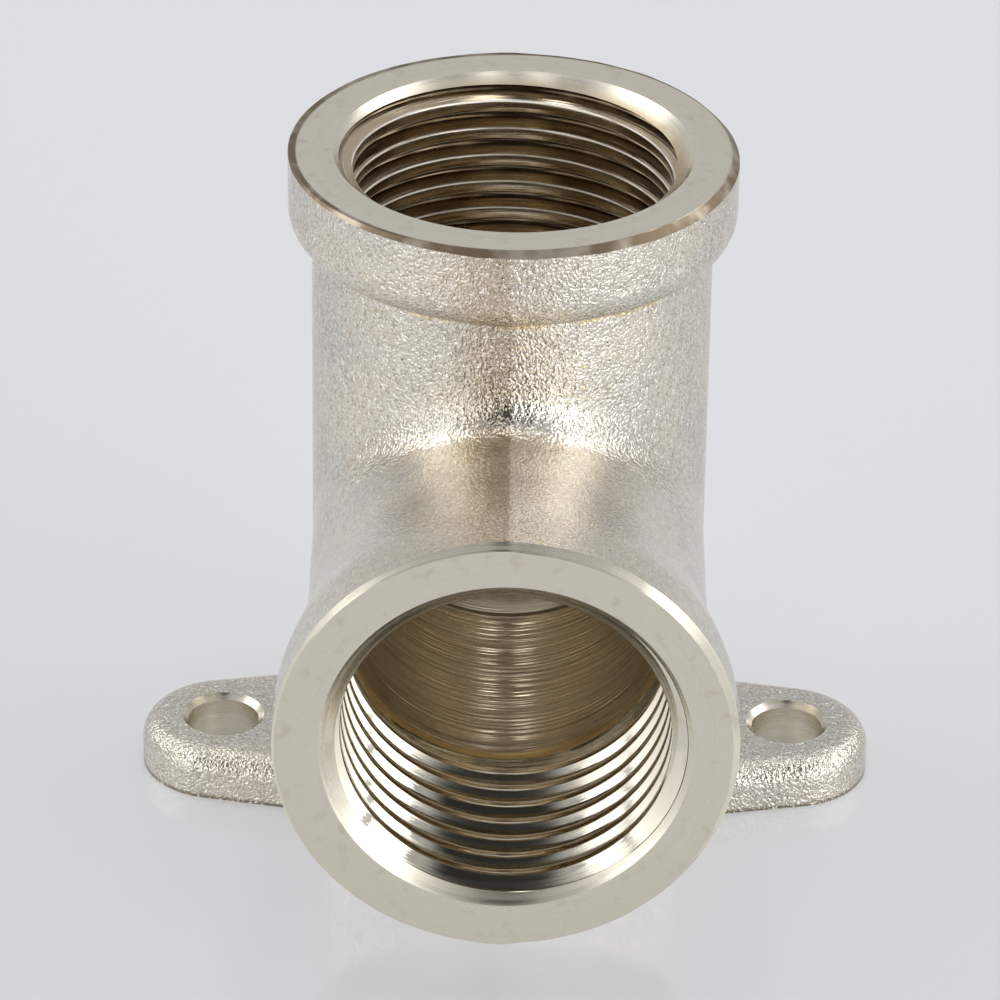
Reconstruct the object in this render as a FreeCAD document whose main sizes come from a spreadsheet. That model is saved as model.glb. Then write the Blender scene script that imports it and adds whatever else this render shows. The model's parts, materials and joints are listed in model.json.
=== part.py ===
import FreeCAD, Part
import math
import os

import Sketcher

# Wall plate elbow: two threaded sockets at right angles, forged in one piece with two fixing ears.
# The wall plane is z = 0, the outlet axis is Z, and the inlet opens towards -Y.

DRIVING_SIZES = {
    "bore_diameter": 19.1,
    "tube_wall": 2.45,
    "collar_step": 1.42,
    "branch_inset": 0.15,
    "inlet_wall_gap": 5.28,
    "outlet_neck": 6.84,
    "outlet_collar_length": 5.41,
    "outlet_collar_round": 2.1,
    "inlet_neck": 5.4,
    "inlet_collar_length": 3.7,
    "inlet_taper_length": 7.3,
    "inlet_taper_round": 8.0,
    "rim_break": 0.35,
    "branch_fillet": 2.5,
    "mouth_width": 1.2,
    "mouth_depth": 1.1,
    "outlet_overrun": 2.4,
    "inlet_overrun": 4.1,
    "drill_point_angle": 118,
    "ear_hole_offset": 5.65,
    "ear_hole_diameter": 4.4,
    "ear_rim": 2.85,
    "ear_flare": 3.45,
    "ear_thickness": 3.1,
    "ear_edge_round": 1.4,
    "ear_hole_break": 0.35,
    "ear_fillet": 1.2,
}

# Lengths that follow from the driving sizes, as expressions for the sketches
BORE_RADIUS = "sizes.bore_diameter / 2"
TUBE_RADIUS = f"({BORE_RADIUS} + sizes.tube_wall)"
BRANCH_RADIUS = f"({TUBE_RADIUS} - sizes.branch_inset)"
COLLAR_RADIUS = f"({TUBE_RADIUS} + sizes.collar_step)"
MOUTH_RADIUS = f"({BORE_RADIUS} + sizes.mouth_width)"
DRILL_POINT = f"({BORE_RADIUS} / tan(sizes.drill_point_angle * 1deg / 2))"
AXIS_HEIGHT = f"({COLLAR_RADIUS} + sizes.inlet_wall_gap)"
OUTLET_HEIGHT = f"({AXIS_HEIGHT} + {BRANCH_RADIUS} + sizes.outlet_neck + sizes.outlet_collar_length)"
INLET_COLLAR = "(sizes.inlet_taper_length + sizes.inlet_collar_length)"
INLET_REACH = f"({TUBE_RADIUS} + sizes.inlet_neck + {INLET_COLLAR})"
EAR_HOLE_RADIUS = "sizes.ear_hole_diameter / 2"
EAR_HOLE_SPACING = f"2 * ({TUBE_RADIUS} + sizes.ear_hole_offset)"
EAR_END_RADIUS = f"({EAR_HOLE_RADIUS} + sizes.ear_rim)"
EAR_ROOT_RADIUS = f"({EAR_END_RADIUS} + sizes.ear_flare)"

# Sketch references: the points of a curve, and the sketch's own axes, which start at its origin
START, END, CENTRE = range(1, 4)
ACROSS_AXIS, UPRIGHT_AXIS = range(-1, -3, -1)
ORIGIN = (ACROSS_AXIS, START)

quarter = math.pi / 2
FULL_TURN = "360 deg"
EDGE_SAMPLES = 9
ON_SURFACE = 1e-4

doc = FreeCAD.newDocument("wall_plate_elbow")
sheet = doc.addObject("Spreadsheet::Sheet", "sizes")
for row, (alias, value) in enumerate(DRIVING_SIZES.items(), 1):
    sheet.set(f"A{row}", alias)
    sheet.set(f"B{row}", str(value))
    sheet.setAlias(f"B{row}", alias)
doc.recompute()

body = doc.addObject("PartDesign::Body", "elbow_body")
body.Label = "elbow_body"


def new_sketch(name, role):
    """An empty sketch on one of the body's own origin planes."""
    sketch = body.newObject("Sketcher::SketchObject", name)
    plane = next(feature for feature in body.Origin.OriginFeatures if feature.Role == role)
    sketch.AttachmentSupport = [(plane, "")]
    sketch.MapMode = "FlatFace"
    return sketch


def constrain(sketch, *terms):
    return sketch.addConstraint(Sketcher.Constraint(*terms))


def closed_outline(sketch, corners, round_side=None):
    """Closed outline. The corners give its form, and the dimensions place them.

    Its sides are straight, but for a quarter round that runs on smoothly into the side after it.
    """
    count = len(corners)
    for number, (across, up) in enumerate(corners):
        next_across, next_up = corners[(number + 1) % count]
        start = FreeCAD.Vector(across, up, 0)
        end = FreeCAD.Vector(next_across, next_up, 0)
        if number == round_side:
            circle = circle_at(across, next_up, next_across - across)
            sketch.addGeometry(Part.ArcOfCircle(circle, -quarter, 0), False)
            continue
        side = sketch.addGeometry(Part.LineSegment(start, end), False)
        if across == next_across:
            constrain(sketch, "Vertical", side)
        if up == next_up:
            constrain(sketch, "Horizontal", side)
    for side in range(count):
        join = "Tangent" if side == round_side else "Coincident"
        constrain(sketch, join, side, END, (side + 1) % count, START)


def circle_at(across, up, radius):
    return Part.Circle(FreeCAD.Vector(across, up, 0), FreeCAD.Vector(0, 0, 1), radius)


def size(alias):
    return float(sheet.get(alias))


def worked_out(expression):
    return float(sheet.evalExpression(expression))


def dimension(sketch, name, expression, kind, *points):
    """A named dimension that the sheet drives."""
    index = constrain(sketch, kind, *points, worked_out(expression))
    sketch.renameConstraint(index, name)
    sketch.setExpression(f"Constraints.{name}", expression)


def turned(kind, name, sketch, axis):
    """A full turn of a sketch, added to the body or cut from it."""
    feature = body.newObject(f"PartDesign::{kind}", name)
    feature.Profile = sketch
    feature.ReferenceAxis = (sketch, [axis])
    feature.Angle = FULL_TURN
    doc.recompute()


def edged(kind, measure, name, alias, *tests):
    """Fillet or chamfer every edge of the body that lies wholly where one of the tests says."""
    base = body.Tip
    names = []
    for number, edge in enumerate(base.Shape.Edges, 1):
        if edge.Degenerated:
            continue
        points = edge.discretize(Number=EDGE_SAMPLES)[1:-1]
        if any(all(test(point) for point in points) for test in tests):
            names.append(f"Edge{number}")
    if not names:
        raise RuntimeError(f"{name}: no edge found")
    feature = body.newObject(f"PartDesign::{kind}", name)
    feature.Base = (base, names)
    feature.setExpression(measure, f"sizes.{alias}")
    doc.recompute()


def rounded(name, alias, *tests):
    edged("Fillet", "Radius", name, alias, *tests)


def bevelled(name, alias, *tests):
    edged("Chamfer", "Size", name, alias, *tests)


def near(value, target):
    return abs(value - target) < ON_SURFACE


# Base plate: two ears drawn as one tapered outline, tangent to a circle on the outlet axis
ear_end = worked_out(EAR_END_RADIUS)
ear_root = worked_out(EAR_ROOT_RADIUS)
ear_reach = worked_out(EAR_HOLE_SPACING) / 2
taper = math.asin((ear_root - ear_end) / ear_reach)

ear_outline = new_sketch("ear_outline", "XY_Plane")
arcs = [
    (ear_reach, ear_end, taper - quarter, quarter - taper),
    (0, ear_root, quarter - taper, quarter + taper),
    (-ear_reach, ear_end, quarter + taper, 3 * quarter - taper),
    (0, ear_root, 3 * quarter - taper, 3 * quarter + taper),
]
right_end, back_root, left_end, front_root = (
    ear_outline.addGeometry(Part.ArcOfCircle(circle_at(across, 0, radius), begin, stop), False)
    for across, radius, begin, stop in arcs
)
ring = [right_end, back_root, left_end, front_root]
for number, arc in enumerate(ring):
    following = ring[(number + 1) % len(ring)]
    start = ear_outline.getPoint(arc, END)
    end = ear_outline.getPoint(following, START)
    side = ear_outline.addGeometry(Part.LineSegment(start, end), False)
    constrain(ear_outline, "Tangent", arc, END, side, START)
    constrain(ear_outline, "Tangent", side, END, following, START)
for arc in (back_root, front_root):
    constrain(ear_outline, "Coincident", arc, CENTRE, *ORIGIN)
constrain(ear_outline, "PointOnObject", right_end, CENTRE, ACROSS_AXIS)
constrain(ear_outline, "Symmetric", left_end, CENTRE, right_end, CENTRE, *ORIGIN)
constrain(ear_outline, "Equal", right_end, left_end)
constrain(ear_outline, "Equal", back_root, front_root)
dimension(ear_outline, "end_radius", EAR_END_RADIUS, "Radius", right_end)
dimension(ear_outline, "root_radius", EAR_ROOT_RADIUS, "Radius", back_root)
dimension(ear_outline, "hole_spacing", EAR_HOLE_SPACING, "DistanceX", left_end, CENTRE, right_end, CENTRE)

base_plate = body.newObject("PartDesign::Pad", "base_plate")
base_plate.Profile = ear_outline
base_plate.setExpression("Length", "sizes.ear_thickness")
doc.recompute()
rounded("ear_edges", "ear_edge_round", lambda p: near(p.z, size("ear_thickness")))

# Outlet stem, turned about the outlet axis: its short collar ends in a sharp foot on the tube
stem_profile = new_sketch("stem_profile", "YZ_Plane")
tube_radius = worked_out(TUBE_RADIUS)
collar_radius = worked_out(COLLAR_RADIUS)
outlet_height = worked_out(OUTLET_HEIGHT)
collar_foot = outlet_height - size("outlet_collar_length")
stem_corners = [
    (0, 0),
    (tube_radius, 0),
    (tube_radius, collar_foot),
    (collar_radius, collar_foot + size("collar_step")),
    (collar_radius, outlet_height),
    (0, outlet_height),
]
closed_outline(stem_profile, stem_corners, round_side=2)
constrain(stem_profile, "Coincident", 0, START, *ORIGIN)
dimension(stem_profile, "tube_radius", TUBE_RADIUS, "DistanceX", 0, START, 0, END)
dimension(stem_profile, "collar_radius", COLLAR_RADIUS, "DistanceX", 4, END, 4, START)
dimension(stem_profile, "height", OUTLET_HEIGHT, "DistanceY", 5, END, 5, START)
dimension(stem_profile, "collar_length", "sizes.outlet_collar_length", "DistanceY", 2, START, 3, END)
dimension(stem_profile, "collar_round", "sizes.outlet_collar_round", "Radius", 2)
turned("Revolution", "outlet_stem", stem_profile, "V_Axis")

# Inlet branch, turned about the inlet axis: its collar runs out in a long taper towards the stem
branch_profile = new_sketch("branch_profile", "YZ_Plane")
closed_outline(branch_profile, [(0, 4), (0, 6), (-3, 6), (-4, 7), (-5, 7), (-5, 4)])
branch_axis = branch_profile.addGeometry(
    Part.LineSegment(branch_profile.getPoint(5, START), branch_profile.getPoint(5, END)), True)
constrain(branch_profile, "Coincident", branch_axis, START, 5, START)
constrain(branch_profile, "Coincident", branch_axis, END, 5, END)
constrain(branch_profile, "PointOnObject", 0, START, UPRIGHT_AXIS)
dimension(branch_profile, "axis_height", AXIS_HEIGHT, "DistanceY", *ORIGIN, 0, START)
dimension(branch_profile, "tube_radius", BRANCH_RADIUS, "DistanceY", 0, START, 0, END)
dimension(branch_profile, "collar_radius", COLLAR_RADIUS, "DistanceY", 4, END, 4, START)
dimension(branch_profile, "reach", INLET_REACH, "DistanceX", 5, START, 5, END)
dimension(branch_profile, "collar_length", "sizes.inlet_collar_length", "DistanceX", 3, END, 3, START)
dimension(branch_profile, "taper_length", "sizes.inlet_taper_length", "DistanceX", 2, END, 2, START)
turned("Revolution", "inlet_branch", branch_profile, "Axis0")

branch_radius = worked_out(BRANCH_RADIUS)
axis_height = worked_out(AXIS_HEIGHT)
inlet_reach = worked_out(INLET_REACH)
inlet_taper_top = size("inlet_collar_length") - inlet_reach
inlet_taper_foot = inlet_taper_top + size("inlet_taper_length")


def from_outlet_axis(point):
    return math.hypot(point.x, point.y)


def from_inlet_axis(point):
    return math.hypot(point.x, point.z - axis_height)


def on_outlet_ring(height, radius):
    return lambda p: near(p.z, height) and near(from_outlet_axis(p), radius)


def on_inlet_ring(along, radius):
    return lambda p: near(p.y, along) and near(from_inlet_axis(p), radius)


def where_branch_meets_stem(point):
    return near(from_outlet_axis(point), tube_radius) and near(from_inlet_axis(point), branch_radius)


def where_ear_meets_stem(point):
    on_ear = ON_SURFACE < point.z < size("ear_thickness") + ON_SURFACE
    return on_ear and near(from_outlet_axis(point), tube_radius)


rounded("branch_root", "branch_fillet", where_branch_meets_stem)
rounded("ear_roots", "ear_fillet", where_ear_meets_stem)
rounded(
    "inlet_taper_edges",
    "inlet_taper_round",
    on_inlet_ring(inlet_taper_top, collar_radius),
    on_inlet_ring(inlet_taper_foot, branch_radius),
)
bevelled(
    "rim_edges",
    "rim_break",
    on_outlet_ring(outlet_height, collar_radius),
    on_inlet_ring(-inlet_reach, collar_radius),
)

# Sockets: each is drilled past the other's axis and opens in a bevelled mouth
outer_volume = body.Shape.Volume
outlet_bore = new_sketch("outlet_bore", "YZ_Plane")
closed_outline(outlet_bore, [(0, 3), (2, 4), (2, 6), (3, 7), (0, 7)])
constrain(outlet_bore, "PointOnObject", 0, START, UPRIGHT_AXIS)
dimension(outlet_bore, "drill_end", f"{AXIS_HEIGHT} - sizes.outlet_overrun", "DistanceY", *ORIGIN, 0, END)
dimension(outlet_bore, "drill_point", DRILL_POINT, "DistanceY", 0, START, 0, END)
dimension(outlet_bore, "bore_radius", BORE_RADIUS, "DistanceX", 0, START, 0, END)
dimension(outlet_bore, "height", OUTLET_HEIGHT, "DistanceY", *ORIGIN, 3, END)
dimension(outlet_bore, "mouth_radius", MOUTH_RADIUS, "DistanceX", 3, END, 3, START)
dimension(outlet_bore, "mouth_depth", "sizes.mouth_depth", "DistanceY", 2, START, 2, END)
turned("Groove", "outlet_socket", outlet_bore, "V_Axis")

inlet_bore = new_sketch("inlet_bore", "YZ_Plane")
closed_outline(inlet_bore, [(3, 4), (2, 5), (-4, 5), (-5, 6), (-5, 4)])
bore_axis = inlet_bore.addGeometry(
    Part.LineSegment(inlet_bore.getPoint(4, START), inlet_bore.getPoint(4, END)), True)
constrain(inlet_bore, "Coincident", bore_axis, START, 4, START)
constrain(inlet_bore, "Coincident", bore_axis, END, 4, END)
dimension(inlet_bore, "axis_height", AXIS_HEIGHT, "DistanceY", *ORIGIN, 0, START)
dimension(inlet_bore, "overrun", "sizes.inlet_overrun", "DistanceX", *ORIGIN, 0, END)
dimension(inlet_bore, "drill_point", DRILL_POINT, "DistanceX", 0, END, 0, START)
dimension(inlet_bore, "bore_radius", BORE_RADIUS, "DistanceY", 0, START, 0, END)
dimension(inlet_bore, "reach", INLET_REACH, "DistanceX", 3, END, *ORIGIN)
dimension(inlet_bore, "mouth_radius", MOUTH_RADIUS, "DistanceY", 3, END, 3, START)
dimension(inlet_bore, "mouth_depth", "sizes.mouth_depth", "DistanceX", 2, END, 2, START)
turned("Groove", "inlet_socket", inlet_bore, "Axis0")
if body.Shape.Volume >= outer_volume:
    raise RuntimeError("the sockets cut nothing")

# Ear holes, on the centres of the rounded ear ends, with a broken upper edge
solid_ears_volume = body.Shape.Volume
hole_outline = new_sketch("hole_outline", "XY_Plane")
hole_radius = worked_out(EAR_HOLE_RADIUS)
left_hole, right_hole = (
    hole_outline.addGeometry(circle_at(across, 0, hole_radius), False)
    for across in (-ear_reach, ear_reach)
)
constrain(hole_outline, "PointOnObject", right_hole, CENTRE, ACROSS_AXIS)
constrain(hole_outline, "Symmetric", left_hole, CENTRE, right_hole, CENTRE, *ORIGIN)
constrain(hole_outline, "Equal", left_hole, right_hole)
dimension(hole_outline, "hole_diameter", "sizes.ear_hole_diameter", "Diameter", right_hole)
dimension(hole_outline, "hole_spacing", EAR_HOLE_SPACING, "DistanceX", left_hole, CENTRE, right_hole, CENTRE)

ear_holes = body.newObject("PartDesign::Pocket", "ear_holes")
ear_holes.Profile = hole_outline
ear_holes.Type = "Length"
ear_holes.setExpression("Length", "sizes.ear_thickness")
ear_holes.Reversed = True
doc.recompute()
if body.Shape.Volume >= solid_ears_volume:
    raise RuntimeError("the ear holes cut nothing")


def on_hole_mouth(point):
    from_hole = math.hypot(abs(point.x) - ear_reach, point.y)
    return near(point.z, size("ear_thickness")) and near(from_hole, hole_radius)


bevelled("hole_mouths", "ear_hole_break", on_hole_mouth)

# Every feature has to be sound before the part is written
doc.recompute()
for item in doc.Objects:
    if "Invalid" in item.State or "Error" in item.State:
        raise RuntimeError(f"{item.Name} failed: {item.State}")
solid = body.Shape
if solid.isNull() or not solid.isValid() or len(solid.Solids) != 1:
    raise RuntimeError("elbow_body is not one sound solid")

os.makedirs("parts", exist_ok=True)
solid.exportStep(f"parts/{body.Label}.step")
box = solid.BoundBox
print(f"{body.Label}: {solid.Volume / 1000:.3f} cm3")
print(f"box {box.XLength:.2f} x {box.YLength:.2f} x {box.ZLength:.2f} mm, from y {box.YMin:.2f}")
print(f"inlet axis {axis_height:.2f}, inlet reach {inlet_reach:.2f} mm")
print(f"outlet height {outlet_height:.2f}, ear hole spacing {2 * ear_reach:.2f} mm")
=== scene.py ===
import json
import math
from collections import namedtuple

import bmesh
import bpy
from bpy.props import FloatProperty, FloatVectorProperty, IntProperty, PointerProperty
from mathutils import Euler, Matrix, Vector, noise


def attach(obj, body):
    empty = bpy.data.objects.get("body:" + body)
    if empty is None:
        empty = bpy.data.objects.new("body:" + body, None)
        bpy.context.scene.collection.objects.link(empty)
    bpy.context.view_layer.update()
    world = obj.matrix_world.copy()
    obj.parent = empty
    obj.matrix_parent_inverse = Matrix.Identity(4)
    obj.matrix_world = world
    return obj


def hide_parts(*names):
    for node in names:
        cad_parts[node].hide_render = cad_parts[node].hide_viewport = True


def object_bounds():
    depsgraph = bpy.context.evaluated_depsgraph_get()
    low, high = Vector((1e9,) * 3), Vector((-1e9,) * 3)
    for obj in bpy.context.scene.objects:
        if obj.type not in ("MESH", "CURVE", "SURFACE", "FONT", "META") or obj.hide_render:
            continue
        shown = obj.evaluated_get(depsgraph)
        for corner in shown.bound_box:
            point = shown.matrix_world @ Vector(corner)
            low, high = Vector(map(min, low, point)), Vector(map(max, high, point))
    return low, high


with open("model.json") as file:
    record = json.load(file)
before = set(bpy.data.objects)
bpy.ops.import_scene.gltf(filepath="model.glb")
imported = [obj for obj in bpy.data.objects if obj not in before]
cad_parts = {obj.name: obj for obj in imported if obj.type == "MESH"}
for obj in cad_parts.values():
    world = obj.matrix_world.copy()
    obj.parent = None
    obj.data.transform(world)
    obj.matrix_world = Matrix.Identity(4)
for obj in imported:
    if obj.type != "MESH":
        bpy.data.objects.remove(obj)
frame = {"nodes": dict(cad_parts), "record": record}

bl_info = {
    "name": "Wall Plate Elbow",
    "version": (1, 0, 0),
    "blender": (4, 5, 0),
    "location": "3D View > Sidebar > Elbow",
    "description": "A forged wall plate elbow with cut threads, nickel finishes and a pale studio stage",
    "category": "Object",
}

MM = 0.001
NODE = "elbow_body"
BODY = "root"

# Points this close are one, and points this close to a surface lie on it
HAIR = 1e-4 * MM
FIT = 0.02 * MM
# Steepest bend that is shaded as smooth, and the least upright share of a flat face's normal
SHARP = math.radians(28)
FLAT = 0.9

CAD_LOW, CAD_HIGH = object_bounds()
MOUNTS = {mount["name"]: mount for mount in frame["record"]["mounts"]}
BORE_RADIUS = MOUNTS["outlet_socket"]["dims"]["r_mm"] * MM
OUTLET_BORE_LENGTH = MOUNTS["outlet_socket"]["dims"]["length_mm"] * MM
INLET_BORE_LENGTH = MOUNTS["inlet_socket"]["dims"]["length_mm"] * MM
AXIS_HEIGHT = MOUNTS["inlet_socket"]["pos_m"][2]
HOLE_REACH = MOUNTS["ear_holes"]["dims"]["spacing_x_mm"] * MM / 2
HOLE_RADIUS = MOUNTS["ear_holes"]["dims"]["hole_r_mm"] * MM

# Each socket's own frame: +Z runs out of its mouth, and the mouth's face is z = 0
OUTLET_FRAME = Matrix.Translation((0, 0, CAD_HIGH.z))
INLET_FRAME = Matrix.Translation((0, CAD_LOW.y, AXIS_HEIGHT)) @ Matrix.Rotation(math.radians(90), 4, "X")

# Places of the finishes in the piece's list of materials
SKIN, DRILLED, OUTLET_FACE, OUTLET_THREAD, OUTLET_BORE, INLET_FACE, INLET_THREAD, INLET_BORE = range(8)

# Reach of the broken edge round an ear hole, and height up to which a point belongs to the wall face
HOLE_BREAK = 0.3 * MM
WALL_FACE = 0.05 * MM
# Where the skin is divided across the parting ridge, as shares of its two slopes
RIDGE_LEFT_CUTS = (1.0, 0.6, 0.3, 0.1)
RIDGE_RIGHT_CUTS = (0.0, 0.2, 0.5, 1.0)
# Turns of thread that are made beyond its depth and then cut off
SPARE_TURNS = 3
# How far a mouth's cutter runs past the bore and out of the face, in depths of the mouth
CONE_PAST_BORE = 2.5
CONE_PAST_FACE = 0.5

# Noise runs from 0 to 1 about this middle; each range is where in the noise a tint starts and is full
NOISE_MIDDLE = 0.5
COOL_RANGE = (0.35, 0.68)
THIN_RANGE = (0.55, 0.80)
TOPS_RANGE = (0.80, 0.98)
HOLLOWS_RANGE = (0.70, 0.50)
LINES_RANGE = (0.58, 0.72)
BANDS_RANGE = (0.35, 0.65)
FOOT_RANGE = (0.4, 0.6)
GLOSS_RANGE = (0.3, 0.7)
WEAR_RANGE = (0.3, 0.55)
# Widths of the patches in which the plate is cooler, thinner or worn, and how strong the last two are
COOL_PATCH = 6.0 * MM
THIN_PATCH = 1.1 * MM
WEAR_PATCH = 2.0 * MM
PATCH_DETAIL = 3.0
THIN_SHARE = 0.6
WEAR_LEAST = 0.6
# Width of the waves in a speck's ragged edge
SPECK_RAGGED = 0.12 * MM
# Fineness and weight of the layers of the blasted grain, from the finest to the slowest
GRAIN_LAYERS = ((1.0, 1.0), (0.45, 0.5), (0.1, 0.5))
# How far a tool mark drifts in a radian, and the fineness and the roughness of the bands of marks
RING_DRIFT = 0.12 * MM
BAND_FINENESS = 0.22
BAND_SMOOTHER = 0.05
BAND_ROUGHER = 0.07
# Share of a tinted band's width over which its tint is full
CORE = 1 / 3

# Worn and stained zones, and zones of painted shade and glints, each with where it starts and where it is
# full
# In from the rim, in widths of its facet
RIM_WEAR = (2.0, 1.5)
# In from the edge of the mouth, and out from the bore
MOUTH_STAIN = (0.1 * MM, 0.3 * MM)
# In from the root of the thread, where shade is painted
ROOT_SHADE = (0.35 * MM, 0.1 * MM)
# Out from the bore: painted glints on the crest edges, and the lands kept in the outlet thread's darker brown
PAINTED_EDGE_GLINT = (0.12 * MM, 0.08 * MM)
LAND_SHADE = (0.012 * MM, 0.006 * MM)
# Past the drill's stop
DRILL_LINE = (0.0, 0.15 * MM)
DRILL_END = (0.45 * MM, 0.6 * MM)
# Past the inner end of a thread
LIP_STAIN = (1.0 * MM, 0.3 * MM)

# Sides of the round table, and the camera's sensor in millimetres and its range in metres
FLOOR_STEPS = 128
SENSOR_WIDTH = 36
CLIP_NEAR = 0.01
CLIP_FAR = 10
# Where along Y the room's light changes from its near to its far strength
ROOM_NEAR, ROOM_FAR = -0.3, 0.4

# Machined metal: its plate's colour and roughness, its tool rings, and their finest lines
Metal = namedtuple("Metal", "plate gloss ring_width ring_depth line_colour line_share")
# A tinted zone: an output of the rings, where on it the tint starts and is full, its colour and roughness
Zone = namedtuple("Zone", "measure start full colour gloss")


def length(title, words, default):
    """A size in metres that can be as small as a hundredth of a millimetre."""
    return FloatProperty(name=title, description=words, default=default, precision=6, unit="LENGTH")


def share(title, words, default):
    """A share between none and all."""
    return FloatProperty(name=title, description=words, default=default, min=0, max=1, subtype="FACTOR")


def amount(title, words, default):
    """A number that is never below zero."""
    return FloatProperty(name=title, description=words, default=default, min=0)


def angle(title, words, degrees):
    """An angle whose default is given in degrees."""
    return FloatProperty(name=title, description=words, default=math.radians(degrees), subtype="ANGLE")


def colour(title, words, default):
    """A colour of metal or light."""
    return FloatVectorProperty(
        name=title, description=words, default=default, size=3, min=0, max=1, subtype="COLOR")


def spot(title, words, default):
    """A point in metres."""
    return FloatVectorProperty(
        name=title, description=words, default=default, size=3, precision=5, unit="LENGTH")


class ElbowForm(bpy.types.PropertyGroup):
    """Sizes of the sockets, the rim facets and the parting ridge."""

    pitch: length("Pitch", "Axial distance from one thread to the next", 1.814 * MM)
    flank_angle: angle("Flank Angle", "Angle between the two flanks of a thread groove", 55)
    root_radius: length("Root Radius", "Radius at the bottom of the thread grooves", 10.4775 * MM)
    root_land: length("Root Land", "Half width of the flat at the bottom of a groove", 0.12 * MM)
    crest_break: length("Crest Break", "Width of the broken edge of a thread crest", 0.06 * MM)
    run_out: amount("Run-out", "Turns over which the thread fades at its inner end", 0.8)
    thread_steps: IntProperty(name="Thread Steps", description="Steps in one turn", default=144, min=24)
    inlet_thread: length("Inlet Thread", "Depth of the thread in the inlet", 14.0 * MM)
    outlet_thread: length("Outlet Thread", "Depth of the thread in the outlet", 15.0 * MM)
    mouth_radius: length("Mouth Radius", "Radius of each mouth at its face", 10.75 * MM)
    mouth_depth: length("Mouth Depth", "Depth of the bevel in each mouth", 1.1 * MM)
    drill_angle: angle("Drill Angle", "Point angle of the drill that ended each bore", 118)
    drill_stop: length("Drill Stop", "Depth of the ring that the first drill left in the inlet", 30.5 * MM)
    rim_radius: length("Rim Radius", "Radius of each collar at its rim", 13.42 * MM)
    rim_break: length("Rim Break", "Width of the broken edge round each rim in the solid", 0.35 * MM)
    facet_width: length("Facet Width", "Mean width of the facet round each rim", 0.27 * MM)
    facet_swing: share("Facet Swing", "How unevenly the rim facet was cut round the collar", 0.75)
    facet_least: length("Facet Least", "Least width of a rim facet", 0.05 * MM)
    facet_nick: length("Facet Nick", "Depth of the small nicks along a facet", 0.05 * MM)
    nick_length: length("Nick Length", "Distance from one nick to the next", 1.5 * MM)
    outlet_widest: angle("Outlet Widest", "Where the outlet's facet is widest, turned from +X", -20)
    inlet_widest: angle("Inlet Widest", "Where the inlet's facet is widest, turned from +X", 50)
    ridge_height: length("Ridge Height", "Height of the forging's parting ridge", 0.10 * MM)
    ridge_left: length("Ridge Left", "Width of the ridge's long slope", 4.2 * MM)
    ridge_right: length("Ridge Right", "Width of the ridge's short slope", 1.6 * MM)


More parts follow.
